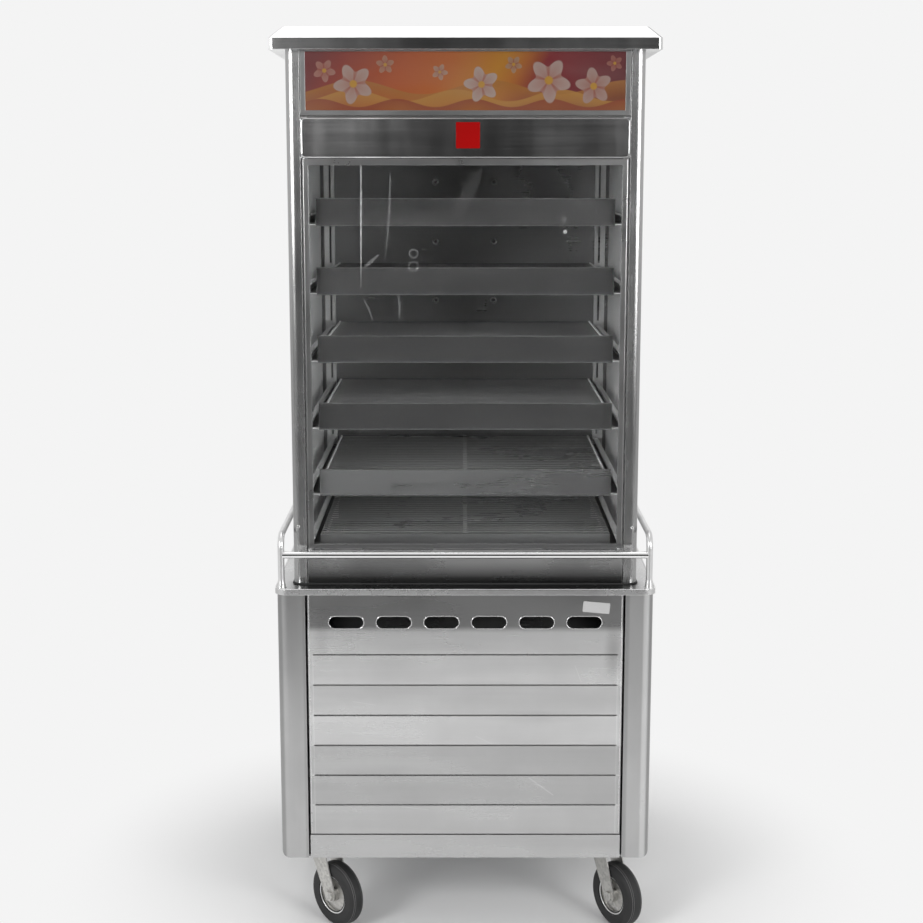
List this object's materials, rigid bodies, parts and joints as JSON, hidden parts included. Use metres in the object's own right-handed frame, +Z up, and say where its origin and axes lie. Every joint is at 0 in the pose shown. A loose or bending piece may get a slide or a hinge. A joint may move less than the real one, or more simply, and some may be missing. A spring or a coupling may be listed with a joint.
{
  "type": "bun steamer cabinet",
  "caption": "Tall glazed steaming cabinet with sliding wire racks and a lit sign, on a wider louvred steel base with a guard rail and swivel casters.",
  "frame": {"origin": "on the floor under the middle of the cabinet", "axes": "+Z up, -Y out of the glazed front, +X to the right seen from the front"},
  "size_m": [0.708, 0.708, 1.7],
  "materials": {
    "cabinet_steel": "satin stainless sheet",
    "upper_steel": "polished stainless sheet",
    "roof_steel": "satin stainless sheet",
    "chamber_steel": "polished stainless sheet",
    "rack_steel": "satin stainless sheet and wire",
    "polished_tube": "polished stainless tube",
    "galvanised_sheet": "dull galvanised sheet",
    "fittings_steel": "turned stainless",
    "valve_brass": "cast and turned",
    "lever_paint": "dipped red",
    "control_plastic": "moulded",
    "clear_glass": "clear toughened glass",
    "sign_face": "printed translucent sheet",
    "lamp_white": "opal",
    "seal_rubber": "grey silicone",
    "catch_magnet": "moulded",
    "caster_zinc": "zinc plated",
    "wheel_rim": "pressed and zinc plated",
    "wheel_tyre": "solid rubber"
  },
  "bodies": {
    "cabinet": {"base_left_casing": "cabinet_steel", "base_right_casing": "cabinet_steel", "base_front_panel": "cabinet_steel", "base_bottom_rail": "cabinet_steel", "base_rear_panel": "cabinet_steel", "base_deck": "cabinet_steel", "control_pan": "cabinet_steel", "upper_left_casing": "upper_steel", "upper_right_casing": "upper_steel", "upper_rear_panel": "upper_steel", "lower_front_panel": "upper_steel", "header_fascia": "upper_steel", "sign_box": "upper_steel", "roof_cap": "roof_steel", "side_liners": "chamber_steel", "rear_wall": "chamber_steel", "chamber_ceiling": "chamber_steel", "steam_duct": "chamber_steel", "ladder_posts": "chamber_steel", "rack_rails": "chamber_steel", "water_tank": "chamber_steel", "guard_front_bar": "polished_tube", "guard_left_hoop": "polished_tube", "guard_right_hoop": "polished_tube", "base_floor": "galvanised_sheet", "steam_nozzles": "fittings_steel", "drain_pipe": "fittings_steel", "door_pivots": "fittings_steel", "heating_element": "fittings_steel", "drain_valve_body": "valve_brass", "thermostat_body": "control_plastic", "sign_panel": "sign_face", "sign_lamp": "lamp_white", "door_gasket": "seal_rubber", "door_catch": "catch_magnet", "caster_plates": "caster_zinc"},
    "door": {"door_frame": "upper_steel", "door_glass": "clear_glass"},
    "drain_lever": {"drain_lever": "lever_paint"},
    "thermostat_knob": {"thermostat_knob": "control_plastic"},
    "rack_1": {"rack_1": "rack_steel"},
    "rack_2": {"rack_2": "rack_steel"},
    "rack_3": {"rack_3": "rack_steel"},
    "rack_4": {"rack_4": "rack_steel"},
    "rack_5": {"rack_5": "rack_steel"},
    "rack_6": {"rack_6": "rack_steel"},
    "caster_front_left": {"caster_front_left_fork": "caster_zinc"},
    "wheel_front_left": {"caster_front_left_rim": "wheel_rim", "caster_front_left_tyre": "wheel_tyre"},
    "caster_front_right": {"caster_front_right_fork": "caster_zinc"},
    "wheel_front_right": {"caster_front_right_rim": "wheel_rim", "caster_front_right_tyre": "wheel_tyre"},
    "caster_rear_left": {"caster_rear_left_fork": "caster_zinc"},
    "wheel_rear_left": {"caster_rear_left_rim": "wheel_rim", "caster_rear_left_tyre": "wheel_tyre"},
    "caster_rear_right": {"caster_rear_right_fork": "caster_zinc"},
    "wheel_rear_right": {"caster_rear_right_rim": "wheel_rim", "caster_rear_right_tyre": "wheel_tyre"}
  },
  "joints": [
    {"name": "door_hinge", "type": "hinge", "parent": "cabinet", "child": "door", "pos_m": [-0.29, -0.31, 1.11], "axis": [0, 0, -1], "range_deg": [0, 90]},
    {"name": "rack_1_slide", "type": "slide", "parent": "cabinet", "child": "rack_1", "axis": [0, -1, 0], "range_m": [0, 0.015]},
    {"name": "rack_2_slide", "type": "slide", "parent": "cabinet", "child": "rack_2", "axis": [0, -1, 0], "range_m": [0, 0.015]},
    {"name": "rack_3_slide", "type": "slide", "parent": "cabinet", "child": "rack_3", "axis": [0, -1, 0], "range_m": [0, 0.015]},
    {"name": "rack_4_slide", "type": "slide", "parent": "cabinet", "child": "rack_4", "axis": [0, -1, 0], "range_m": [0, 0.015]},
    {"name": "rack_5_slide", "type": "slide", "parent": "cabinet", "child": "rack_5", "axis": [0, -1, 0], "range_m": [0, 0.015]},
    {"name": "rack_6_slide", "type": "slide", "parent": "cabinet", "child": "rack_6", "axis": [0, -1, 0], "range_m": [0, 0.015]},
    {"name": "drain_lever_turn", "type": "hinge", "parent": "cabinet", "child": "drain_lever", "pos_m": [0, 0.176, 0.133], "axis": [0, 1, 0], "range_deg": [0, 90]},
    {"name": "thermostat_turn", "type": "hinge", "parent": "cabinet", "child": "thermostat_knob", "pos_m": [0.15, 0.33, 0.6], "axis": [0, 1, 0], "range_deg": [0, 270]},
    {"name": "front_left_swivel", "type": "hinge", "parent": "cabinet", "child": "caster_front_left", "pos_m": [-0.275, -0.265, 0.147], "axis": [0, 0, 1], "continuous": true},
    {"name": "front_left_roll", "type": "hinge", "parent": "caster_front_left", "child": "wheel_front_left", "pos_m": [-0.24813, -0.29187, 0.0625], "axis": [0.7071, 0.7071, 0], "continuous": true},
    {"name": "front_right_swivel", "type": "hinge", "parent": "cabinet", "child": "caster_front_right", "pos_m": [0.275, -0.265, 0.147], "axis": [0, 0, 1], "continuous": true},
    {"name": "front_right_roll", "type": "hinge", "parent": "caster_front_right", "child": "wheel_front_right", "pos_m": [0.29625, -0.2965, 0.0625], "axis": [0.829, 0.5592, 0], "continuous": true},
    {"name": "rear_left_swivel", "type": "hinge", "parent": "cabinet", "child": "caster_rear_left", "pos_m": [-0.275, 0.265, 0.147], "axis": [0, 0, 1], "continuous": true},
    {"name": "rear_left_roll", "type": "hinge", "parent": "caster_rear_left", "child": "wheel_rear_left", "pos_m": [-0.24387, 0.2868, 0.0625], "axis": [-0.5736, 0.8192, 0], "continuous": true},
    {"name": "rear_right_swivel", "type": "hinge", "parent": "cabinet", "child": "caster_rear_right", "pos_m": [0.275, 0.265, 0.147], "axis": [0, 0, 1], "continuous": true},
    {"name": "rear_right_roll", "type": "hinge", "parent": "caster_rear_right", "child": "wheel_rear_right", "pos_m": [0.24589, 0.28943, 0.0625], "axis": [-0.6428, -0.766, 0], "continuous": true}
  ]
}
